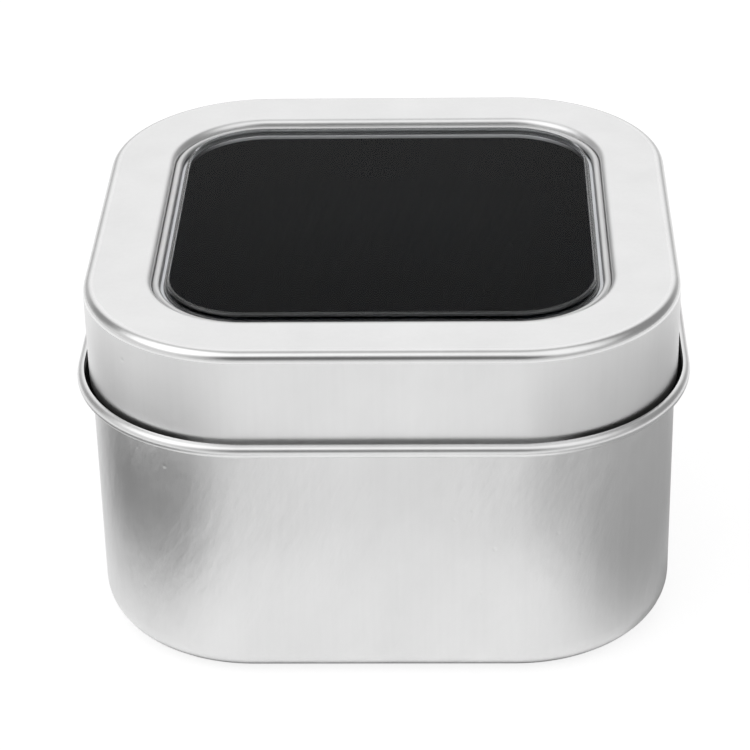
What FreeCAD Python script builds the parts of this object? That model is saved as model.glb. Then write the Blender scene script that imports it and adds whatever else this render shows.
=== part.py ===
import FreeCAD, Part
import math
import os
import Sketcher

# Square slip-lid tin with a clear window in its lid. Millimetres, +Z up, origin in the middle of the
# face that it stands on. Each pressed piece has one section of sheet all the way round, so it is drawn
# as a section in the XZ plane and swept round the rounded square that the base wall follows.

sizes = {
    "body_width": 80.0,  # base wall outside, flat to flat
    "corner_radius": 22.0,  # base wall outside, in plan
    "overall_height": 51.0,  # table to lid panel
    "tinplate": 0.25,  # sheet of the base and the lid
    "heel_radius": 4.6,  # where the wall turns into the foot
    "foot_width": 3.5,  # flat ring that the tin stands on
    "floor_rise": 1.2,  # floor panel above the table
    "floor_bend": 0.5,  # outer radius of the bends round the floor panel
    "rim_curl": 1.6,  # diameter of the base's inward curl
    "rim_wrap": 290.0,  # degrees that the inward curl turns through
    "rim_clearance": 0.2,  # between the rim and the lid panel
    "lid_depth": 15.0,  # lid panel to the underside of the bead
    "lid_clearance": 0.1,  # between the lid skirt and the base wall
    "lid_edge_radius": 1.35,  # where the lid panel turns into the skirt
    "bead": 1.9,  # diameter of the outward curl on the lid's lower edge
    "bead_wrap": 270.0,  # degrees that the outward curl turns through
    "rebate_width": 62.2,  # window rebate, wall to wall
    "rebate_depth": 1.6,  # lid panel to the ledge
    "rebate_edge_radius": 1.05,  # where the lid panel rolls down into the rebate
    "rebate_bend": 0.25,  # inner corner between rebate wall and ledge
    "sight_edge_radius": 0.3,  # where the ledge turns down
    "hem_depth": 0.5,  # ledge to the cut edge of its turned-down lip
    "ring_width": 1.1,  # half-round ring that holds the pane down
    "ring_clearance": 0.05,  # between the ring and the rebate wall
    "pane_sheet": 0.3,  # clear plastic
    "pane_flange": 0.6,  # flat of the flange that shows inside the ring
    "pane_recess": 0.2,  # lid panel to the top of the pane
    "pane_edge_radius": 0.4,  # where the top of the pane turns down
    "pane_bend": 0.2,  # inner corner between the pane's wall and its flange
    "pane_clearance": 0.05,  # between the flange and the rebate's inner corner
    "sight_width": (  # clear opening inside the ledge, in line with the pane's wall
        "=rebate_width - 2 * (ring_clearance + ring_width + pane_flange + pane_bend)"
    ),
}

doc = FreeCAD.newDocument("window_lid_tin")
sheet = doc.addObject("Spreadsheet::Sheet", "Sizes")
for row, (name, content) in enumerate(sizes.items(), start=1):
    sheet.set(f"A{row}", name)
    sheet.set(f"B{row}", str(content))
    sheet.setAlias(f"B{row}", name)
doc.recompute()

ORIGIN = (-1, 1)  # a sketch's own origin point
X_AXIS = -1  # a sketch's own horizontal axis
START, END, CENTRE = 1, 2, 3  # the points of a line or an arc
QUARTER_TURN = 90  # degrees
HALF_TURN = 180


class Size:
    """A size with its value and the formula that ties it to the sheet."""

    def __init__(self, value, formula):
        self.value = value
        self.formula = formula

    def __add__(self, other):
        return Size(self.value + other.value, f"({self.formula} + {other.formula})")

    def __sub__(self, other):
        return Size(self.value - other.value, f"({self.formula} - {other.formula})")

    def __mul__(self, number):
        return Size(self.value * number, f"({self.formula} * {number})")

    def __truediv__(self, number):
        return Size(self.value / number, f"({self.formula} / {number})")


def size(name):
    return Size(float(sheet.get(name)), f"Sizes.{name}")


def new_body(label):
    body = doc.addObject("PartDesign::Body", label)
    body.Label = label
    body.Placement = FreeCAD.Placement()
    return body


def new_sketch(body, name, role):
    sketch = body.newObject("Sketcher::SketchObject", name)
    plane = next(feature for feature in body.Origin.OriginFeatures if feature.Role == role)
    sketch.AttachmentSupport = (plane, [""])
    sketch.MapMode = "FlatFace"
    return sketch


def relate(sketch, kind, *where):
    sketch.addConstraint(Sketcher.Constraint(kind, *where))


def dimension(sketch, kind, *where, to):
    index = sketch.addConstraint(Sketcher.Constraint(kind, *where, to.value))
    sketch.setExpression(f"Constraints[{index}]", to.formula)


def wrap_dimension(sketch, arc, wrap):
    index = sketch.addConstraint(Sketcher.Constraint("Angle", arc, math.radians(wrap.value)))
    sketch.setExpression(f"Constraints[{index}]", f"{wrap.formula} * 1 deg")


def line(sketch, first, last):
    return sketch.addGeometry(Part.LineSegment(FreeCAD.Vector(*first), FreeCAD.Vector(*last)), False)


def arc(sketch, centre, radius, from_degrees, wrap_degrees):
    """Draw an arc that runs anticlockwise from an angle."""
    circle = Part.Circle(FreeCAD.Vector(*centre), FreeCAD.Vector(0, 0, 1), radius)
    first = math.radians(from_degrees)
    return sketch.addGeometry(Part.ArcOfCircle(circle, first, first + math.radians(wrap_degrees)), False)


def corner_at(half_width):
    """Corner radius, in plan, of what runs parallel to the base wall at a half width."""
    return size("corner_radius") - (size("body_width") / 2 - half_width)


def rounded_square(body, name, half_width):
    """Draw a rounded square in plan that starts in the middle of its +X side."""
    sketch = new_sketch(body, name, "XY_Plane")
    radius = corner_at(half_width)
    half = half_width.value
    flat = half - radius.value
    sides = [line(sketch, (half, 0), (half, flat))]
    corners = [arc(sketch, (flat, flat), radius.value, 0, QUARTER_TURN)]
    sides.append(line(sketch, (flat, half), (-flat, half)))
    corners.append(arc(sketch, (-flat, flat), radius.value, QUARTER_TURN, QUARTER_TURN))
    sides.append(line(sketch, (-half, flat), (-half, -flat)))
    corners.append(arc(sketch, (-flat, -flat), radius.value, HALF_TURN, QUARTER_TURN))
    sides.append(line(sketch, (-flat, -half), (flat, -half)))
    corners.append(arc(sketch, (flat, -flat), radius.value, -QUARTER_TURN, QUARTER_TURN))
    sides.append(line(sketch, (half, -flat), (half, 0)))
    right, back, left, front, right_again = sides
    for before, corner, after in zip(sides, corners, sides[1:]):
        relate(sketch, "Tangent", before, END, corner, START)
        relate(sketch, "Tangent", corner, END, after, START)
    relate(sketch, "Coincident", right_again, END, right, START)
    relate(sketch, "PointOnObject", right, START, X_AXIS)
    for upright in (right, left, right_again):
        relate(sketch, "Vertical", upright)
    for level in (back, front):
        relate(sketch, "Horizontal", level)
    for corner in corners[1:]:
        relate(sketch, "Equal", corners[0], corner)
    dimension(sketch, "Radius", corners[0], to=radius)
    dimension(sketch, "DistanceX", *ORIGIN, right, START, to=half_width)
    dimension(sketch, "DistanceX", left, START, *ORIGIN, to=half_width)
    dimension(sketch, "DistanceY", *ORIGIN, back, START, to=half_width)
    dimension(sketch, "DistanceY", front, START, *ORIGIN, to=half_width)
    return sketch


class SheetSection:
    """The section of a pressed sheet in the XZ plane.

    It has straight runs, level and upright by turns, with a square bend between one run and the next.
    The runs are given along one face, with the sheet on the right of the way they go. A curl, if there
    is one, carries the last run on round to its left, about a centre level with the run's end.
    """

    def __init__(self, body, thickness, runs, bends, start, end, curl=None, wrap=None):
        self.sketch = new_sketch(body, "section", "XZ_Plane")
        self.thickness = thickness
        self.upright = [kind == "upright" for kind, place in runs]
        self.places = [place for kind, place in runs]
        stops = [start, *self.places, end]
        self.ways = [1 if stops[i + 2].value > stops[i].value else -1 for i in range(len(runs))]
        self.turns = [self.turn(i) for i in range(len(bends))]
        self.start = start
        self.end = end
        self.curl = curl
        self.wrap = wrap
        given = self.draw_face([place.value for place in self.places], [bend.value for bend in bends], 0)
        far_bends = [bend + thickness * turn for bend, turn in zip(bends, self.turns)]
        far_places = [self.far_place(i) for i in range(len(runs))]
        far = self.draw_face(far_places, [bend.value for bend in far_bends], thickness.value)
        self.size_face(given, bends)
        self.size_face(far, far_bends)
        self.place_faces(given, far)
        self.close_ends(given, far)

    def heading(self, i):
        """Direction of a run as a step in x and z."""
        if self.upright[i]:
            return (0, self.ways[i])
        return (self.ways[i], 0)

    def turn(self, i):
        """Which way the bend after a run goes: 1 to the left, -1 to the right."""
        before = self.heading(i)
        after = self.heading(i + 1)
        return before[0] * after[1] - before[1] * after[0]

    def far_place(self, i):
        """Where a run lies on the sheet's other face."""
        right = self.ways[i] if self.upright[i] else -self.ways[i]
        return self.places[i].value + right * self.thickness.value

    def point(self, i, place, along):
        """The point of a run's line that is so far along it."""
        if self.upright[i]:
            return (place, along)
        return (along, place)

    def draw_face(self, places, bends, beyond):
        """Draw the lines and bends of one face, that lies beyond the given one by a distance."""
        last = len(places) - 1
        trims = [0, *bends, 0]
        stops = [self.start.value, *places, self.end.value]
        lines = []
        for i, place in enumerate(places):
            first = self.point(i, place, stops[i] + self.ways[i] * trims[i])
            final = self.point(i, place, stops[i + 2] - self.ways[i] * trims[i + 1])
            lines.append(line(self.sketch, first, final))
        arcs = []
        for i, radius in enumerate(bends):
            before = self.heading(i)
            after = self.heading(i + 1)
            corner = self.point(i, places[i], places[i + 1])
            centre = [corner[k] + radius * (after[k] - before[k]) for k in (0, 1)]
            first = [-step for step in after] if self.turns[i] > 0 else before
            angle = math.degrees(math.atan2(first[1], first[0]))
            arcs.append(arc(self.sketch, centre, radius, angle, QUARTER_TURN))
        if self.curl:
            radius = self.curl.value + beyond
            way = self.ways[last]
            centre = (places[last] - way * radius, self.end.value)
            angle = 0 if way > 0 else HALF_TURN
            arcs.append(arc(self.sketch, centre, radius, angle, self.wrap.value))
        return lines, arcs

    def size_face(self, face, bends):
        """Make one face a smooth chain, with its bends at their radii."""
        lines, arcs = face
        for i, (straight, bend) in enumerate(zip(lines, arcs)):
            leftward = i >= len(self.turns) or self.turns[i] > 0
            enter, leave = (START, END) if leftward else (END, START)
            relate(self.sketch, "Tangent", straight, END, bend, enter)
            if i < len(self.turns):
                relate(self.sketch, "Tangent", bend, leave, lines[i + 1], START)
                dimension(self.sketch, "Radius", bend, to=bends[i])
        for i, straight in enumerate(lines):
            relate(self.sketch, "Vertical" if self.upright[i] else "Horizontal", straight)

    def place_faces(self, given, far):
        """Put each run of the given face in its place, and the far face a sheet away from it."""
        for i, (near_line, far_line) in enumerate(zip(given[0], far[0])):
            across = "DistanceX" if self.upright[i] else "DistanceY"
            dimension(self.sketch, across, *ORIGIN, near_line, START, to=self.places[i])
            outward = self.far_place(i) > self.places[i].value
            low, high = (near_line, far_line) if outward else (far_line, near_line)
            dimension(self.sketch, across, low, START, high, START, to=self.thickness)

    def close_ends(self, given, far):
        """Close the section at its start, and at its end or at the cut edge of its curl."""
        (lines, arcs), (far_lines, far_arcs) = given, far
        sketch = self.sketch
        self.cap(0, lines[0], START, far_lines[0], START, self.start)
        last = len(lines) - 1
        if not self.curl:
            self.cap(last, lines[last], END, far_lines[last], END, self.end)
            return
        inner, outer = arcs[-1], far_arcs[-1]
        along = "DistanceY" if self.upright[last] else "DistanceX"
        dimension(sketch, along, *ORIGIN, lines[last], END, to=self.end)
        relate(sketch, "Horizontal", inner, CENTRE, outer, CENTRE)
        dimension(sketch, "Radius", inner, to=self.curl)
        dimension(sketch, "Radius", outer, to=self.curl + self.thickness)
        wrap_dimension(sketch, inner, self.wrap)
        wrap_dimension(sketch, outer, self.wrap)
        self.join(inner, END, outer, END)

    def cap(self, i, near_line, near_end, far_line, far_end, place):
        """Close a run's open end square across the sheet."""
        edge = self.join(near_line, near_end, far_line, far_end)
        relate(self.sketch, "Horizontal" if self.upright[i] else "Vertical", edge)
        along = "DistanceY" if self.upright[i] else "DistanceX"
        dimension(self.sketch, along, *ORIGIN, near_line, near_end, to=place)

    def join(self, near, near_end, far, far_end):
        first = self.sketch.getPoint(near, near_end)
        last = self.sketch.getPoint(far, far_end)
        edge = line(self.sketch, (first.x, first.y), (last.x, last.y))
        relate(self.sketch, "Coincident", edge, START, near, near_end)
        relate(self.sketch, "Coincident", edge, END, far, far_end)
        return edge


def sweep(body, section):
    """Carry a section round the rounded square of the base wall."""
    path = rounded_square(body, "path", size("body_width") / 2)
    pipe = body.newObject("PartDesign::AdditivePipe", "sweep")
    pipe.Profile = section
    pipe.Spine = path
    return pipe


def plate(body, half_width, level, thickness):
    """Fill the middle of a swept piece with a flat plate whose underside is at a level."""
    outline = rounded_square(body, "plate_outline", half_width)
    outline.setExpression("AttachmentOffset.Base.z", level.formula)
    pad = body.newObject("PartDesign::Pad", "plate")
    pad.Profile = outline
    pad.setExpression("Length", thickness.formula)
    return pad


half_body = size("body_width") / 2
panel_top = size("overall_height")
ledge_top = panel_top - size("rebate_depth")
flange_top = ledge_top + size("pane_sheet")
half_rebate = size("rebate_width") / 2
ring_outside = half_rebate - size("ring_clearance")
half_sight = size("sight_width") / 2


def base_shell():
    """Drawn base: a floor panel raised inside the foot, a rounded heel, a wall and an inward curl."""
    body = new_body("base_shell")
    sheet_metal = size("tinplate")
    floor_top = size("floor_rise") + sheet_metal
    floor_edge = half_body - size("heel_radius") - size("foot_width")
    plate_edge = floor_edge - size("floor_bend") * 2
    rim_top = panel_top - sheet_metal - size("rim_clearance")
    curl_radius = size("rim_curl") / 2
    section = SheetSection(
        body,
        sheet_metal,
        runs=[
            ("level", floor_top),
            ("upright", floor_edge),
            ("level", sheet_metal),
            ("upright", half_body - sheet_metal),
        ],
        bends=[size("floor_bend"), size("floor_bend") - sheet_metal, size("heel_radius") - sheet_metal],
        start=plate_edge,
        end=rim_top - curl_radius,
        curl=curl_radius - sheet_metal,
        wrap=size("rim_wrap"),
    )
    sweep(body, section.sketch)
    plate(body, plate_edge, size("floor_rise"), sheet_metal)
    return body


def lid_shell():
    """Drawn lid: a turned-down window edge, a ledge, a panel, a skirt and an outward bead."""
    body = new_body("lid_shell")
    sheet_metal = size("tinplate")
    bead_radius = size("bead") / 2
    section = SheetSection(
        body,
        sheet_metal,
        runs=[
            ("upright", half_sight),
            ("level", ledge_top),
            ("upright", half_rebate),
            ("level", panel_top),
            ("upright", half_body + size("lid_clearance") + sheet_metal),
        ],
        bends=[
            size("sight_edge_radius"),
            size("rebate_bend"),
            size("rebate_edge_radius"),
            size("lid_edge_radius"),
        ],
        start=ledge_top - size("hem_depth"),
        end=panel_top - size("lid_depth") + bead_radius,
        curl=bead_radius - sheet_metal,
        wrap=size("bead_wrap"),
    )
    sweep(body, section.sketch)
    return body


def window_pane():
    """Formed clear pane: a raised plate whose flange lies on the rebate's ledge."""
    body = new_body("window_pane")
    pane_sheet = size("pane_sheet")
    pane_top = panel_top - size("pane_recess")
    plate_edge = half_sight - size("pane_edge_radius") * 2
    section = SheetSection(
        body,
        pane_sheet,
        runs=[("level", pane_top), ("upright", half_sight), ("level", flange_top)],
        bends=[size("pane_edge_radius"), size("pane_bend")],
        start=plate_edge,
        end=half_rebate - size("rebate_bend") - size("pane_clearance"),
    )
    sweep(body, section.sketch)
    plate(body, plate_edge, pane_top - pane_sheet, pane_sheet)
    return body


def window_ring():
    """Half-round ring, pressed in on the pane's flange against the rebate wall."""
    body = new_body("window_ring")
    radius = size("ring_width") / 2
    middle = ring_outside - radius
    sketch = new_sketch(body, "section", "XZ_Plane")
    low = flange_top.value
    crown = arc(sketch, (middle.value, low), radius.value, 0, HALF_TURN)
    seat = line(sketch, (middle.value - radius.value, low), (ring_outside.value, low))
    relate(sketch, "Coincident", seat, START, crown, END)
    relate(sketch, "Coincident", seat, END, crown, START)
    relate(sketch, "Horizontal", seat)
    relate(sketch, "PointOnObject", crown, CENTRE, seat)
    dimension(sketch, "Radius", crown, to=radius)
    dimension(sketch, "DistanceX", *ORIGIN, crown, CENTRE, to=middle)
    dimension(sketch, "DistanceY", *ORIGIN, crown, CENTRE, to=flange_top)
    sweep(body, sketch)
    return body


pieces = [base_shell(), lid_shell(), window_pane(), window_ring()]
doc.recompute()

for item in doc.Objects:
    faults = {"Invalid", "Error"} & set(item.State)
    if faults:
        raise RuntimeError(f"{item.Label} is {', '.join(sorted(faults))}")
for piece in pieces:
    if piece.Shape.isNull() or not piece.Shape.isValid():
        raise RuntimeError(f"{piece.Label} has no valid shape")
    if len(piece.Shape.Solids) != 1:
        raise RuntimeError(f"{piece.Label} has {len(piece.Shape.Solids)} solids")

os.makedirs("parts", exist_ok=True)
for piece in pieces:
    piece.Shape.exportStep(f"parts/{piece.Label}.step")
    print(f"{piece.Label}: {piece.Shape.Volume:.1f} mm3, {len(piece.Shape.Faces)} faces")
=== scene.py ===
import bmesh
import bpy
import math
from collections import namedtuple
from mathutils import Matrix, Vector


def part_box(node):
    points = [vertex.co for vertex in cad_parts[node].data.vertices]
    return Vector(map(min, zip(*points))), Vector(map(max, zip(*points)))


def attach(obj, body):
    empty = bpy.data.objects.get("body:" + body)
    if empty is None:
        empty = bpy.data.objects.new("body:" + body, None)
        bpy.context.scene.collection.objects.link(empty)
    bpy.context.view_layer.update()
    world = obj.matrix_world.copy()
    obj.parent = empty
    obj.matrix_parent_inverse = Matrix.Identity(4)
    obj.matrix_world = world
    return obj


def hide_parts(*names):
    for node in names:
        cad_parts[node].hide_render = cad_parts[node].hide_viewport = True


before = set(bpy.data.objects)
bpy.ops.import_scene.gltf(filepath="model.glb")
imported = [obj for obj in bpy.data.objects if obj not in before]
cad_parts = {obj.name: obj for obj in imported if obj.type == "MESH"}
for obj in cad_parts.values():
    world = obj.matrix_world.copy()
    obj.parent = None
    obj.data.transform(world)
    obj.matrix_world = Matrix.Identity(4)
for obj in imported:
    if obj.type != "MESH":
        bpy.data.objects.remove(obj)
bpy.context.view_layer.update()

# The base: one sheet of tinplate drawn into a square cup with a rounded heel. Its inside is lacquered dark,
# a colour that is also painted shade for the dim inside of the tin. Its floor panel is pressed up inside
# the foot that it stands on, and its rim is curled inwards so that no cut edge shows.
_, base_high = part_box("base_shell")
WALL = base_high.x  # outside of the base wall, from the middle
WALL_CORNER = 0.022  # radius of the base wall, in plan
TINPLATE = 0.00025
HEEL_RADIUS = 0.0046
FOOT_WIDTH = 0.0035  # flat ring between the heel and the raised panel
FLOOR_RISE = 0.0012
FLOOR_BEND = 0.0005
RIM_CURL = 0.0016  # across
RIM_WRAP = math.radians(290)
CURL_STEP = math.radians(9)
POLISHED_BEND = 0.002  # bends up to this radius are polished by the tools
FLAT_MARGIN = 0.0001  # sheet beyond a bend that still takes its polish
CURL_POLISH = 0.3  # polish of a curl, which the tools touch less
CREVICE_SHADE = 0.2  # sheet before a curl that its painted shade fades over, in curl radii
SectionPoint = namedtuple("SectionPoint", "x z bend polish lined")


def sheet_outline(corners, bends, sheet, curl=0.0, wrap=0.0, lined=0.0):
    """Section of a bent sheet, out along one face and back along the other.

    The sheet lies on the right of the way that the corners go, and a curl carries the last run on round
    to its left. Tight bends are polished, and curls a little. lined is given for the first face, and
    the inside of a curl always takes it. It marks painted shade, which on the tin's inside is also a dark
    lacquer.
    """
    runs = [(Vector(after) - Vector(before)).normalized() for before, after in zip(corners, corners[1:])]
    rights = [Vector((run.y, -run.x)) for run in runs]
    faces = []
    for depth, face_shade in ((0.0, lined), (sheet, 0.0)):
        face = []
        for i, corner in enumerate(corners):
            if not 0 < i < len(runs):
                place = Vector(corner) + depth * rights[min(i, len(runs) - 1)]
                face.append(SectionPoint(*place, 0.0, 0.0, face_shade))
                continue
            place = Vector(corner) + depth * (rights[i - 1] + rights[i])
            bend = max(bends[i - 1] + depth * runs[i - 1].cross(runs[i]), 0.0)
            clear = bend + FLAT_MARGIN
            face.append(SectionPoint(*(place - clear * runs[i - 1]), 0.0, 0.0, face_shade))
            polish = 1.0 if bend < POLISHED_BEND else 0.0
            face.append(SectionPoint(*place, bend, polish, face_shade))
            face.append(SectionPoint(*(place + clear * runs[i]), 0.0, 0.0, face_shade))
        if curl:
            last = Vector(face.pop()[:2])
            face.append(SectionPoint(*(last - CREVICE_SHADE * curl * runs[-1]), 0.0, 0.0, face_shade))
            middle = Vector(corners[-1]) - curl * rights[-1]
            steps = round(wrap / CURL_STEP)
            # the inner face of a curl is darkened as painted shade
            inner = 1.0 if depth == 0.0 else 0.0
            for step in range(steps + 1):
                spoke = Matrix.Rotation(wrap * step / steps, 2) @ rights[-1]
                face.append(SectionPoint(*(middle + (curl + depth) * spoke), 0.0, CURL_POLISH, inner))
        faces.append(face)
    return faces[0] + faces[1][::-1]


def add_node(tree, kind, **settings):
    node = tree.nodes.new(kind)
    for setting, value in settings.items():
        setattr(node, setting, value)
    return node


SEAM = 0.000001  # points nearer than this are joined where the sweep meets itself


def sweep_tree():
    """Geometry nodes that round a section's corners and carry it round a rounded square."""
    tree = bpy.data.node_groups.new("Section swept round the wall", "GeometryNodeTree")
    for label, kind in (
        ("Section", "NodeSocketGeometry"),
        ("Width", "NodeSocketFloat"),
        ("Corner Radius", "NodeSocketFloat"),
        ("Corner Steps", "NodeSocketInt"),
        ("Bend Steps", "NodeSocketInt"),
        ("Finish", "NodeSocketMaterial"),
    ):
        tree.interface.new_socket(label, in_out="INPUT", socket_type=kind)
    tree.interface.new_socket("Piece", in_out="OUTPUT", socket_type="NodeSocketGeometry")
    given = add_node(tree, "NodeGroupInput").outputs
    square = add_node(tree, "GeometryNodeCurvePrimitiveQuadrilateral")
    path = add_node(tree, "GeometryNodeFilletCurve", mode="POLY")
    upright = add_node(tree, "GeometryNodeSetCurveNormal", mode="Z_UP")
    chain = add_node(tree, "GeometryNodeMeshToCurve")
    bend = add_node(tree, "GeometryNodeInputNamedAttribute", data_type="FLOAT")
    bend.inputs["Name"].default_value = "bend"
    rounded = add_node(tree, "GeometryNodeFilletCurve", mode="POLY")
    stood_up = add_node(tree, "GeometryNodeTransform")
    stood_up.inputs["Rotation"].default_value = (math.radians(90), 0, 0)
    sweep = add_node(tree, "GeometryNodeCurveToMesh")
    merge = add_node(tree, "GeometryNodeMergeByDistance")
    merge.inputs["Distance"].default_value = SEAM
    realize = add_node(tree, "GeometryNodeRealizeInstances")
    finish = add_node(tree, "GeometryNodeSetMaterial")
    result = add_node(tree, "NodeGroupOutput").inputs
    for before, after in (
        (given["Width"], square.inputs["Width"]),
        (given["Width"], square.inputs["Height"]),
        (square.outputs["Curve"], path.inputs["Curve"]),
        (given["Corner Radius"], path.inputs["Radius"]),
        (given["Corner Steps"], path.inputs["Count"]),
        (path.outputs["Curve"], upright.inputs["Curve"]),
        (upright.outputs["Curve"], sweep.inputs["Curve"]),
        (given["Section"], chain.inputs["Mesh"]),
        (chain.outputs["Curve"], rounded.inputs["Curve"]),
        (bend.outputs["Attribute"], rounded.inputs["Radius"]),
        (given["Bend Steps"], rounded.inputs["Count"]),
        (rounded.outputs["Curve"], stood_up.inputs["Geometry"]),
        (stood_up.outputs["Geometry"], sweep.inputs["Profile Curve"]),
        (sweep.outputs["Mesh"], merge.inputs["Geometry"]),
        (merge.outputs["Geometry"], realize.inputs["Geometry"]),
        (realize.outputs["Geometry"], finish.inputs["Geometry"]),
        (given["Finish"], finish.inputs["Material"]),
        (finish.outputs["Geometry"], result["Piece"]),
    ):
        tree.links.new(before, after)
    return tree


SWEEP = sweep_tree()
CORNER_STEPS = 28  # steps round a corner of the square
BEND_STEPS = 10  # steps round a bend of the section
SHARP_EDGE = math.radians(40)


def swept_piece(name, outline, finish, ring=True):
    """A piece with one section all the way round: a ring, or a shell whose middle is filled flat."""
    section = bpy.data.meshes.new(name)
    last = len(outline) - 1
    chain = [(i, i + 1) for i in range(last)]
    if ring:
        chain.append((last, 0))
    section.from_pydata([(point.x - WALL, 0, point.z) for point in outline], chain, [])
    for field in ("bend", "polish", "lined"):
        values = section.attributes.new(field, "FLOAT", "POINT")
        values.data.foreach_set("value", [getattr(point, field) for point in outline])
    piece = bpy.data.objects.new(name, section)
    bpy.context.scene.collection.objects.link(piece)
    modifier = piece.modifiers.new("sweep", "NODES")
    modifier.node_group = SWEEP
    inputs = {
        "Width": 2 * WALL,
        "Corner Radius": WALL_CORNER,
        "Corner Steps": CORNER_STEPS,
        "Bend Steps": BEND_STEPS,
        "Finish": finish,
    }
    for item in SWEEP.interface.items_tree:
        if item.name in inputs:
            modifier[item.identifier] = inputs[item.name]
    evaluated = piece.evaluated_get(bpy.context.evaluated_depsgraph_get())
    piece.data = bpy.data.meshes.new_from_object(evaluated)
    piece.modifiers.remove(modifier)
    shell = bmesh.new()
    shell.from_mesh(piece.data)
    open_edges = [edge for edge in shell.edges if edge.is_boundary]
    if open_edges:
        bmesh.ops.edgeloop_fill(shell, edges=open_edges)
    bmesh.ops.recalc_face_normals(shell, faces=shell.faces)
    for face in shell.faces:
        face.smooth = True
    shell.to_mesh(piece.data)
    shell.free()
    piece.data.set_sharp_from_angle(angle=SHARP_EDGE)
    return piece


def add_mix(tree, kind):
    """A Mix node for one kind of data, as its factor, first, second and result sockets."""
    mix = add_node(tree, "ShaderNodeMix", data_type=kind)
    return [socket for socket in (*mix.inputs, *mix.outputs) if socket.enabled]


DRAW_LINES = (0.0007, 0.0007, 0.017)  # sizes of the patterns along x, y and z
ORANGE_PEEL = (0.0011, 0.0011, 0.0011)
SLOW_WAVES = (0.0026, 0.0026, 0.007)
TONE_CLOUDS = (0.007, 0.007, 0.012)
WAVE_LEAN = math.radians(24)  # the waves and clouds lean over from upright
DENT_SPACING = (0.0055, 0.0055, 0.0055)
DENT_REACH = 0.09  # of a dent, as a share of the spacing
TONE_CHANGE = 0.06  # shares by which the clouds and lines change the tone and satin
LINE_TONE = 0.025
SATIN_CHANGE = 0.1


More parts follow.
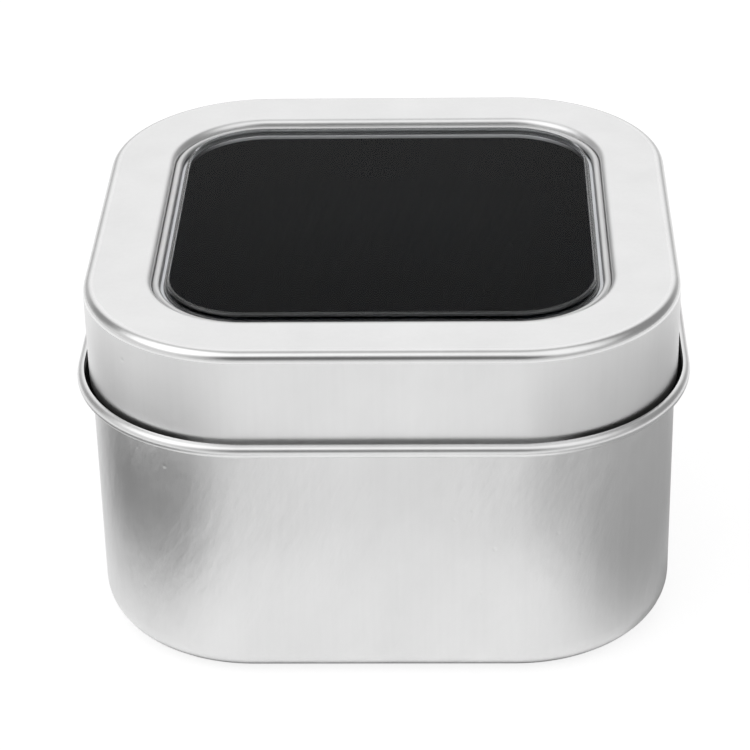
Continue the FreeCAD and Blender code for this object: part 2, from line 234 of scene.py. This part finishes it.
def tin_finish_group():
    """Drawn tinplate: lines along the draw, orange peel, slow waves, bright bends, and a dull dark colour
    of painted shade and the inside's lacquer.
    """
    tree = bpy.data.node_groups.new("Drawn tin finish", "ShaderNodeTree")
    for label, kind in (
        ("Place", "NodeSocketVector"),
        ("Polish", "NodeSocketFloat"),
        ("Lined", "NodeSocketFloat"),
        ("Tone", "NodeSocketFloat"),
        ("Satin", "NodeSocketFloat"),
        ("Bright Satin", "NodeSocketFloat"),
        ("Lining", "NodeSocketColor"),
        ("Grain Depth", "NodeSocketFloat"),
        ("Wave Depth", "NodeSocketFloat"),
        ("Dent Depth", "NodeSocketFloat"),
    ):
        tree.interface.new_socket(label, in_out="INPUT", socket_type=kind)
    for label, kind in (
        ("Color", "NodeSocketColor"),
        ("Roughness", "NodeSocketFloat"),
        ("Metallic", "NodeSocketFloat"),
        ("Height", "NodeSocketFloat"),
    ):
        tree.interface.new_socket(label, in_out="OUTPUT", socket_type=kind)
    given = add_node(tree, "NodeGroupInput").outputs
    result = add_node(tree, "NodeGroupOutput").inputs
    patterns = {}
    for label, size, lean, detail in (  # detail: layers of finer noise
        ("lines", DRAW_LINES, 0.0, 3.0),
        ("peel", ORANGE_PEEL, 0.0, 2.0),
        ("waves", SLOW_WAVES, WAVE_LEAN, 3.0),
        ("clouds", TONE_CLOUDS, WAVE_LEAN, 4.0),
    ):
        spread = add_node(tree, "ShaderNodeMapping", vector_type="TEXTURE")
        spread.inputs["Scale"].default_value = size
        spread.inputs["Rotation"].default_value = (0.0, lean, 0.0)
        pattern = add_node(tree, "ShaderNodeTexNoise")
        pattern.inputs["Scale"].default_value = 1.0
        pattern.inputs["Detail"].default_value = detail
        tree.links.new(given["Place"], spread.inputs["Vector"])
        tree.links.new(spread.outputs["Vector"], pattern.inputs["Vector"])
        patterns[label] = pattern.outputs["Fac"]

    cells = add_node(tree, "ShaderNodeMapping", vector_type="TEXTURE")
    cells.inputs["Scale"].default_value = DENT_SPACING
    dents = add_node(tree, "ShaderNodeTexVoronoi")
    dents.inputs["Scale"].default_value = 1.0
    dent_level = add_node(tree, "ShaderNodeMapRange", interpolation_type="SMOOTHSTEP")
    dent_level.inputs["From Max"].default_value = DENT_REACH
    dent_height = add_node(tree, "ShaderNodeMath", operation="MULTIPLY_ADD")

    def varied(value, pattern, share):
        """A value changed by up to a share either way with a pattern."""
        change = add_node(tree, "ShaderNodeMapRange")
        change.inputs["To Min"].default_value = 1.0 - share
        change.inputs["To Max"].default_value = 1.0 + share
        product = add_node(tree, "ShaderNodeMath", operation="MULTIPLY")
        tree.links.new(patterns[pattern], change.inputs["Value"])
        tree.links.new(change.outputs["Result"], product.inputs[0])
        tree.links.new(value, product.inputs[1])
        return product.outputs["Value"]

    # where the sheet is marked, the colour turns to the dark one given: painted shade, and on the tin's
    # inside its lacquer too
    colour_share, bare_colour, shaded_colour, colour = add_mix(tree, "RGBA")
    satin_share, flat_satin, bent_satin, satin = add_mix(tree, "FLOAT")
    metal = add_node(tree, "ShaderNodeMath", operation="SUBTRACT")
    metal.inputs[0].default_value = 1.0
    grain = add_node(tree, "ShaderNodeMath", operation="ADD")
    fine_height = add_node(tree, "ShaderNodeMath", operation="MULTIPLY")
    height = add_node(tree, "ShaderNodeMath", operation="MULTIPLY_ADD")
    for before, after in (
        (given["Lined"], colour_share),
        (varied(varied(given["Tone"], "clouds", TONE_CHANGE), "lines", LINE_TONE), bare_colour),
        (given["Lining"], shaded_colour),
        (colour, result["Color"]),
        (given["Polish"], satin_share),
        (given["Satin"], flat_satin),
        (given["Bright Satin"], bent_satin),
        (varied(satin, "lines", SATIN_CHANGE), result["Roughness"]),
        (given["Lined"], metal.inputs[1]),
        (metal.outputs["Value"], result["Metallic"]),
        (patterns["lines"], grain.inputs[0]),
        (patterns["peel"], grain.inputs[1]),
        (grain.outputs["Value"], fine_height.inputs[0]),
        (given["Grain Depth"], fine_height.inputs[1]),
        (patterns["waves"], height.inputs[0]),
        (given["Wave Depth"], height.inputs[1]),
        (given["Place"], cells.inputs["Vector"]),
        (cells.outputs["Vector"], dents.inputs["Vector"]),
        (dents.outputs["Distance"], dent_level.inputs["Value"]),
        (dent_level.outputs["Result"], dent_height.inputs[0]),
        (given["Dent Depth"], dent_height.inputs[1]),
        (fine_height.outputs["Value"], dent_height.inputs[2]),
        (dent_height.outputs["Value"], height.inputs[2]),
        (height.outputs["Value"], result["Height"]),
    ):
        tree.links.new(before, after)
    return tree


TIN_FINISH = tin_finish_group()


def tinplate_finish(name, takes_shade=True, **values):
    """Satin tinplate, bare, or dark in places with painted shade and lacquer. The values go to the finish
    group's inputs.
    """
    material = bpy.data.materials.new(name)
    material.use_nodes = True
    tree = material.node_tree
    shader = tree.nodes["Principled BSDF"]
    place = add_node(tree, "ShaderNodeTexCoord")
    polish = add_node(tree, "ShaderNodeAttribute", attribute_name="polish")
    lined = add_node(tree, "ShaderNodeAttribute", attribute_name="lined")
    finish = add_node(tree, "ShaderNodeGroup", node_tree=TIN_FINISH)
    for label, value in values.items():
        finish.inputs[label.replace("_", " ").title()].default_value = value
    bump = add_node(tree, "ShaderNodeBump")
    bump.inputs["Distance"].default_value = 1.0
    for before, after in (
        (place.outputs["Object"], finish.inputs["Place"]),
        (polish.outputs["Fac"], finish.inputs["Polish"]),
        (lined.outputs["Fac"], finish.inputs["Lined"]),
        (finish.outputs["Color"], shader.inputs["Base Color"]),
        (finish.outputs["Roughness"], shader.inputs["Roughness"]),
        (finish.outputs["Height"], bump.inputs["Height"]),
        (bump.outputs["Normal"], shader.inputs["Normal"]),
    ):
        tree.links.new(before, after)
    if takes_shade:
        tree.links.new(finish.outputs["Metallic"], shader.inputs["Metallic"])
    else:
        shader.inputs["Metallic"].default_value = 1.0
    return material


floor_edge = WALL - HEEL_RADIUS - FOOT_WIDTH
floor_top = FLOOR_RISE + TINPLATE
inner_wall = WALL - TINPLATE
base_outline = sheet_outline(
    [
        (floor_edge - 2 * FLOOR_BEND, floor_top),
        (floor_edge, floor_top),
        (floor_edge, TINPLATE),
        (inner_wall, TINPLATE),
        (inner_wall, base_high.z - RIM_CURL / 2),
    ],
    [FLOOR_BEND, FLOOR_BEND - TINPLATE, HEEL_RADIUS - TINPLATE],
    TINPLATE,
    RIM_CURL / 2 - TINPLATE,
    RIM_WRAP,
    lined=1.0,
)
base_tin = tinplate_finish(
    "satin_tin_base",
    grain_depth=0.000004,
    wave_depth=0.00014,
    dent_depth=0.00003,
    tone=0.75,
    satin=0.31,
    bright_satin=0.2,
    # painted shade: this dark inside colour stands for the shade within the closed tin, as well as its
    # lacquer
    lining=(0.008, 0.011, 0.017, 1),
)
drawn_base = swept_piece("drawn_base", base_outline, base_tin, ring=False)
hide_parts("base_shell")
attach(drawn_base, "base")

# The lid: a sheet of the same tinplate drawn into a shallow cap that slips over the base. A rebate for the
# window is pressed into its panel, with its edge turned down, and its lower edge is rolled out into a bead.
lid_low, lid_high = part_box("lid_shell")
pane_low, pane_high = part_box("window_pane")
SKIRT_CLEARANCE = 0.0001  # between the skirt and the base wall
SKIRT = WALL + SKIRT_CLEARANCE + TINPLATE  # outside of the skirt, from the middle
REBATE = 0.0311  # wall of the rebate, from the middle
REBATE_ROLL = 0.00105
REBATE_BEND = 0.00025
SIGHT = 0.02915  # edge of the clear opening, from the middle
SIGHT_ROLL = 0.0003
HEM = 0.0005  # depth of the edge that is turned down
LID_EDGE = 0.00135
BEAD = 0.0019  # across
BEAD_WRAP = math.radians(270)
ledge = pane_low.z
lid_outline = sheet_outline(
    [
        (SIGHT, ledge - HEM),
        (SIGHT, ledge),
        (REBATE, ledge),
        (REBATE, lid_high.z),
        (SKIRT, lid_high.z),
        (SKIRT, lid_low.z + BEAD / 2),
    ],
    [SIGHT_ROLL, REBATE_BEND, REBATE_ROLL, LID_EDGE],
    TINPLATE,
    BEAD / 2 - TINPLATE,
    BEAD_WRAP,
)
lid_outline = [  # the turned-down edge is darkened as painted shade, and nothing in the rebate is polished
    point._replace(
        polish=0.0 if point.x < REBATE + FLAT_MARGIN else point.polish,
        lined=1.0 if abs(point.x - SIGHT) < FLAT_MARGIN else point.lined,
    )
    for point in lid_outline
]
FRONT_CREVICE = 0.75  # grey of the painted shade inside the bead along the front and the back
SIDE_CREVICE = 0.012  # and round the corners and sides, where the painted shade is nearly black
CREVICE_START = 0.0225  # distance to the left or right where the darker painted shade starts
CREVICE_FULL = 0.029  # and where it is full


def crevice_shade(material):
    """Painted shade inside the bead, darker from the front and back of the lid to its sides."""
    tree = material.node_tree
    place = add_node(tree, "ShaderNodeTexCoord")
    size = add_node(tree, "ShaderNodeVectorMath", operation="ABSOLUTE")
    axes = add_node(tree, "ShaderNodeSeparateXYZ")
    shade = add_node(tree, "ShaderNodeMapRange", interpolation_type="SMOOTHSTEP")
    shade.inputs["From Min"].default_value = CREVICE_START
    shade.inputs["From Max"].default_value = CREVICE_FULL
    shade.inputs["To Min"].default_value = FRONT_CREVICE
    shade.inputs["To Max"].default_value = SIDE_CREVICE
    finish = next(node for node in tree.nodes if node.type == "GROUP")
    for before, after in (
        (place.outputs["Object"], size.inputs[0]),
        (size.outputs["Vector"], axes.inputs["Vector"]),
        (axes.outputs["X"], shade.inputs["Value"]),
        (shade.outputs["Result"], finish.inputs["Lining"]),
    ):
        tree.links.new(before, after)


lid_tin = tinplate_finish(
    "satin_tin_lid",
    grain_depth=0.000003,
    wave_depth=0.000015,
    dent_depth=0.00002,
    # a little lighter than the base: painted light that brightens the skirt
    tone=0.8,
    satin=0.34,
    bright_satin=0.18,
)
crevice_shade(lid_tin)
slip_lid = swept_piece("slip_lid", lid_outline, lid_tin)
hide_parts("lid_shell")
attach(slip_lid, "lid")

# The pane: thin clear plastic, formed hot into a shallow raised plate. Its flange lies on the ledge of the
# lid's rebate, under the ring.
PANE_SHEET = 0.0003
PANE_EDGE = 0.0004
PANE_BEND = 0.0002
PANE_LIFT = 0.00002  # air under the flange
PANE_IOR = 1.06  # low, as the thin sheet hardly mirrors the studio
PANE_TINT = (0.86, 0.868, 0.88, 1)
HAZE_SCALE = 60.0
HAZE_ROUGHNESS = 0.008
HAZE_DEPTH = 0.00001
pane_wall = SIGHT  # the raised plate stands over the edge of the opening
pane_outline = sheet_outline(
    [
        (pane_wall - 2 * PANE_EDGE, pane_high.z),
        (pane_wall, pane_high.z),
        (pane_wall, pane_low.z + PANE_SHEET),
        (pane_high.x, pane_low.z + PANE_SHEET),
    ],
    [PANE_EDGE, PANE_BEND],
    PANE_SHEET - PANE_LIFT,
)


def clear_plastic():
    """Clear plastic with a faint haze, and a coat on its bends that catches the light."""
    material = bpy.data.materials.new("clear_plastic")
    material.use_nodes = True
    tree = material.node_tree
    shader = tree.nodes["Principled BSDF"]
    shader.inputs["Base Color"].default_value = PANE_TINT
    shader.inputs["Transmission Weight"].default_value = 1.0
    shader.inputs["IOR"].default_value = PANE_IOR
    place = add_node(tree, "ShaderNodeTexCoord")
    polish = add_node(tree, "ShaderNodeAttribute", attribute_name="polish")
    haze = add_node(tree, "ShaderNodeTexNoise")
    haze.inputs["Scale"].default_value = HAZE_SCALE
    haze_range = add_node(tree, "ShaderNodeMapRange")
    haze_range.inputs["To Max"].default_value = HAZE_ROUGHNESS
    bump = add_node(tree, "ShaderNodeBump")
    bump.inputs["Distance"].default_value = HAZE_DEPTH
    for before, after in (
        (place.outputs["Object"], haze.inputs["Vector"]),
        (haze.outputs["Fac"], haze_range.inputs["Value"]),
        (haze_range.outputs["Result"], shader.inputs["Roughness"]),
        (polish.outputs["Fac"], shader.inputs["Coat Weight"]),
        (haze.outputs["Fac"], bump.inputs["Height"]),
        (bump.outputs["Normal"], shader.inputs["Normal"]),
    ):
        tree.links.new(before, after)
    return material


clear_pane = swept_piece("clear_pane", pane_outline, clear_plastic(), ring=False)
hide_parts("window_pane")
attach(clear_pane, "lid")

# The ring: half-round bright metal, pressed in on the pane's flange against the wall of the rebate, so that
# it holds the pane down.
ring_low, ring_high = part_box("window_ring")
RING_WIDTH = 0.0011
RING_STEPS = 18
ring_middle = ring_high.x - RING_WIDTH / 2
ring_outline = []
for step in range(RING_STEPS + 1):
    angle = math.pi * step / RING_STEPS
    across = ring_middle + RING_WIDTH / 2 * math.cos(angle)
    up = ring_low.z + RING_WIDTH / 2 * math.sin(angle)
    ring_outline.append(SectionPoint(across, up, 0.0, 0.0, 0.0))
ring_tin = tinplate_finish("bright_ring", takes_shade=False, grain_depth=0.000002, tone=0.68, satin=0.42)
half_round_ring = swept_piece("half_round_ring", ring_outline, ring_tin)
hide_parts("window_ring")
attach(half_round_ring, "lid")

# The floor: a plain pale table top, wide enough to fill every view. It looks white to the camera and in
# what the metal and the pane mirror, and it takes the tin's shadow.
FLOOR_SIZE = 6.0
FLOOR_COLOUR = (0.3, 0.3, 0.3, 1)
FLOOR_GLOW = (0.82, 0.82, 0.82, 1)
floor_mesh = bpy.data.meshes.new("floor")
half_floor = FLOOR_SIZE / 2
floor_mesh.from_pydata(
    [(x * half_floor, y * half_floor, 0) for x, y in ((-1, -1), (1, -1), (1, 1), (-1, 1))],
    [],
    [(0, 1, 2, 3)],
)
floor = bpy.data.objects.new("floor", floor_mesh)
bpy.context.scene.collection.objects.link(floor)
floor_paint = bpy.data.materials.new("floor_paint")
floor_paint.use_nodes = True
paint = floor_paint.node_tree
floor_shader = paint.nodes["Principled BSDF"]
floor_shader.inputs["Base Color"].default_value = FLOOR_COLOUR
floor_shader.inputs["Specular IOR Level"].default_value = 0.0
floor_shader.inputs["Emission Color"].default_value = FLOOR_GLOW
rays = add_node(paint, "ShaderNodeLightPath").outputs
mirrored = add_node(paint, "ShaderNodeMath", operation="MAXIMUM")
seen = add_node(paint, "ShaderNodeMath", operation="MAXIMUM")
for before, after in (
    (rays["Is Glossy Ray"], mirrored.inputs[0]),
    (rays["Is Transmission Ray"], mirrored.inputs[1]),
    (rays["Is Camera Ray"], seen.inputs[0]),
    (mirrored.outputs["Value"], seen.inputs[1]),
    (seen.outputs["Value"], floor_shader.inputs["Emission Strength"]),
):
    paint.links.new(before, after)
floor_mesh.materials.append(floor_paint)

# The light: a white tent with a sheet behind and softboxes over the left and the right, open round the
# camera. Cards on the floor, which only mirrors show, darken the tin's corners and the line it stands on.
TENT_LEVEL = 0.55
TENT_DARKEST = 0.03
LIGHTS = (  # azimuth, elevation, angle of the full light, angle where it ends, level added
    (180, 36, 14, 40, 0.51),
    (-65, 52, 12, 40, 0.85),
    (45, 55, 10, 40, 0.55),
    (-70, 8, 15, 45, 0.22),
    (0, 30, 9, 27, -0.4),
    (110, 32, 12, 45, -0.26),
    (-118, 26, 6, 24, -0.25),
)
world = bpy.data.worlds.new("studio")
bpy.context.scene.world = world
world.use_nodes = True
sky = world.node_tree
direction = add_node(sky, "ShaderNodeTexCoord")
total = None
for azimuth, elevation, full, end, level in LIGHTS:
    azimuth, elevation, full, end = (math.radians(angle) for angle in (azimuth, elevation, full, end))
    towards = add_node(sky, "ShaderNodeVectorMath", operation="DOT_PRODUCT")
    towards.inputs[1].default_value = (
        math.sin(azimuth) * math.cos(elevation),
        -math.cos(azimuth) * math.cos(elevation),
        math.sin(elevation),
    )
    glow = add_node(sky, "ShaderNodeMapRange", interpolation_type="SMOOTHSTEP")
    glow.inputs["From Min"].default_value = math.cos(end)
    glow.inputs["From Max"].default_value = math.cos(full)
    glow.inputs["To Max"].default_value = level
    both = add_node(sky, "ShaderNodeMath", operation="ADD")
    both.inputs[1].default_value = TENT_LEVEL
    sky.links.new(direction.outputs["Generated"], towards.inputs[0])
    sky.links.new(towards.outputs["Value"], glow.inputs["Value"])
    sky.links.new(glow.outputs["Result"], both.inputs[0])
    if total:
        sky.links.new(total, both.inputs[1])
    total = both.outputs["Value"]
least = add_node(sky, "ShaderNodeMath", operation="MAXIMUM")
least.inputs[1].default_value = TENT_DARKEST
sky.links.new(total, least.inputs[0])
sky.links.new(least.outputs["Value"], sky.nodes["Background"].inputs["Strength"])
sky.nodes["Background"].inputs["Color"].default_value = (1, 1, 1, 1)

CARDS = (  # name, place, half length, half width, turn, reach where the dark starts and is full, darkness
    ("right_heel_card", (0.0394, -0.021), 0.015, 0.0055, 68, 1.0, 0.4, 0.45),
    ("left_card", (-0.0818, -0.0245), 0.09, 0.047, -73, 1.0, 0.0, 0.87),
    ("right_card", (0.081, -0.02), 0.093, 0.059, 88, 1.0, 0.44, 0.6),
    ("left_front_card", (-0.067, -0.066), 0.045, 0.036, -43, 1.0, 0.1, 0.66),
    ("left_edge_card", (-0.043, -0.088), 0.045, 0.028, 0, 1.0, 0.0, 0.42),
    ("right_front_card", (0.047, -0.088), 0.044, 0.034, 0, 1.0, 0.2, 0.5),
    ("front_card", (0.0, -0.095), 0.05, 0.035, 0, 1.0, 0.0, 0.13),
    ("far_card", (0.0, 0.0), 1.5, 1.5, 0, 0.08, 0.2, 0.22),
)
CARD_COLOUR = (0.03, 0.03, 0.03, 1)
CARD_RISE = 0.0001  # between one card and the next
CONTACT_START = 0.0395  # where the shade under the heel starts, from the middle
CONTACT_FULL = 0.0372
CONTACT_DARKNESS = 1.0


def shade_card(name, layer, place, half_length, half_width, turn):
    """A flat card on the floor that only mirrors show, with its material's node tree."""
    mesh = bpy.data.meshes.new(name)
    mesh.from_pydata([(-1, -1, 0), (1, -1, 0), (1, 1, 0), (-1, 1, 0)], [], [(0, 1, 2, 3)])
    card = bpy.data.objects.new(name, mesh)
    bpy.context.scene.collection.objects.link(card)
    card.location = (*place, layer * CARD_RISE)
    card.scale = (half_length, half_width, 1)
    card.rotation_euler.z = math.radians(turn)
    card.visible_camera = False
    card.visible_diffuse = False
    card.visible_shadow = False
    material = bpy.data.materials.new(name)
    material.use_nodes = True
    mesh.materials.append(material)
    return material.node_tree


def feather(tree, reach, start, full, darkness):
    """Dark paint that fades out from a full reach to the reach where it starts."""
    fade = add_node(tree, "ShaderNodeMapRange", interpolation_type="SMOOTHSTEP")
    fade.inputs["From Min"].default_value = start
    fade.inputs["From Max"].default_value = full
    fade.inputs["To Max"].default_value = darkness
    clear = add_node(tree, "ShaderNodeBsdfTransparent")
    dark = add_node(tree, "ShaderNodeBsdfDiffuse")
    dark.inputs["Color"].default_value = CARD_COLOUR
    mixed = add_node(tree, "ShaderNodeMixShader")
    for before, after in (
        (reach, fade.inputs["Value"]),
        (fade.outputs["Result"], mixed.inputs["Fac"]),
        (clear.outputs["BSDF"], mixed.inputs[1]),
        (dark.outputs["BSDF"], mixed.inputs[2]),
        (mixed.outputs["Shader"], tree.nodes["Material Output"].inputs["Surface"]),
    ):
        tree.links.new(before, after)


for layer, (name, place, half_length, half_width, turn, *fade) in enumerate(CARDS, start=2):
    card_tree = shade_card(name, layer, place, half_length, half_width, turn)
    spot = add_node(card_tree, "ShaderNodeTexCoord")
    reach = add_node(card_tree, "ShaderNodeVectorMath", operation="LENGTH")
    card_tree.links.new(spot.outputs["Object"], reach.inputs[0])
    feather(card_tree, reach.outputs["Value"], *fade)

contact = shade_card("contact_card", 1, (0, 0), WALL, WALL, 0)
spot = add_node(contact, "ShaderNodeTexCoord")
corner = (WALL - WALL_CORNER) / WALL
size = add_node(contact, "ShaderNodeVectorMath", operation="ABSOLUTE")
past = add_node(contact, "ShaderNodeVectorMath", operation="SUBTRACT")
past.inputs[1].default_value = (corner, corner, 0)
outside = add_node(contact, "ShaderNodeVectorMath", operation="MAXIMUM")
outside.inputs[1].default_value = (0, 0, 0)
reach = add_node(contact, "ShaderNodeVectorMath", operation="LENGTH")
for before, after in (
    (spot.outputs["Object"], size.inputs[0]),
    (size.outputs["Vector"], past.inputs[0]),
    (past.outputs["Vector"], outside.inputs[0]),
    (outside.outputs["Vector"], reach.inputs[0]),
):
    contact.links.new(before, after)
contact_start = CONTACT_START / WALL - corner
contact_full = CONTACT_FULL / WALL - corner
feather(contact, reach.outputs["Value"], contact_start, contact_full, CONTACT_DARKNESS)

# The camera: a long lens, looking down on the tin from the front and a little to its right.
CAMERA_AZIMUTH = math.radians(1.763)
CAMERA_ELEVATION = math.radians(29.704)
CAMERA_ROLL = math.radians(-1.09)
CAMERA_DISTANCE = 0.4065
CAMERA_AIM = Vector((0, 0, 0.02556))
CAMERA_LENS = 134.57
CAMERA_SENSOR = 36.0
CAMERA_SHIFT = (-0.01637, -0.00625)
camera_data = bpy.data.cameras.new("camera")
camera_data.lens = CAMERA_LENS
camera_data.sensor_width = CAMERA_SENSOR
camera_data.shift_x, camera_data.shift_y = CAMERA_SHIFT
camera = bpy.data.objects.new("camera", camera_data)
bpy.context.scene.collection.objects.link(camera)
back = Vector(
    (
        math.sin(CAMERA_AZIMUTH) * math.cos(CAMERA_ELEVATION),
        -math.cos(CAMERA_AZIMUTH) * math.cos(CAMERA_ELEVATION),
        math.sin(CAMERA_ELEVATION),
    )
)
turned = back.to_track_quat("Z", "Y").to_matrix().to_4x4() @ Matrix.Rotation(CAMERA_ROLL, 4, "Z")
camera.matrix_world = Matrix.Translation(CAMERA_AIM + CAMERA_DISTANCE * back) @ turned
bpy.context.scene.camera = camera
bpy.context.scene.view_settings.view_transform = "Standard"
